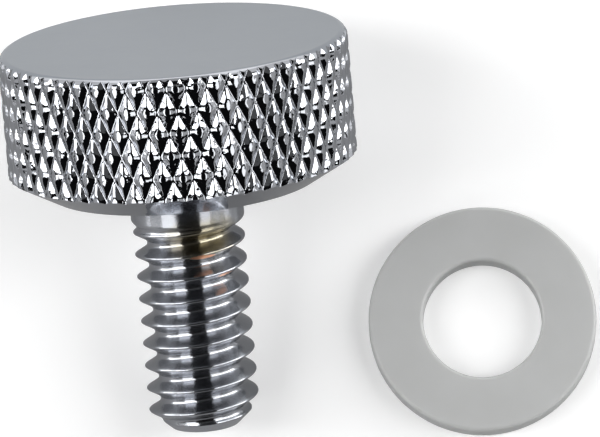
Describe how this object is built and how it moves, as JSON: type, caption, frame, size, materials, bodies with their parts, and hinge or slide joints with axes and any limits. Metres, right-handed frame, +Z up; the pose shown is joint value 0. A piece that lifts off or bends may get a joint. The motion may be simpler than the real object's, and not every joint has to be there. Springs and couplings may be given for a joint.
{
  "type": "seat mounting knob",
  "caption": "Chrome-plated thumbscrew with a diamond-knurled round head, a bevelled underside and a coarse threaded shank, lying beside the flat nylon washer that goes under its head.",
  "frame": {"origin": "on the table, in the middle of the box round the lying knob and the washer", "axes": "+Z up from the table; +X from the knob to the washer beside it; +Y along the table from the shank's end to the head, with the knob's axis in a plane of constant X and the head end raised"},
  "size_m": [0.0318, 0.0254, 0.0202],
  "materials": {
    "plated_steel": "bright chrome plate on steel, with small copper-coloured wear marks on the first turns of the thread",
    "nylon": "natural nylon, satin, slightly translucent"
  },
  "bodies": {
    "root": {"knob": "plated_steel", "nylon_washer": "nylon"}
  },
  "joints": []
}
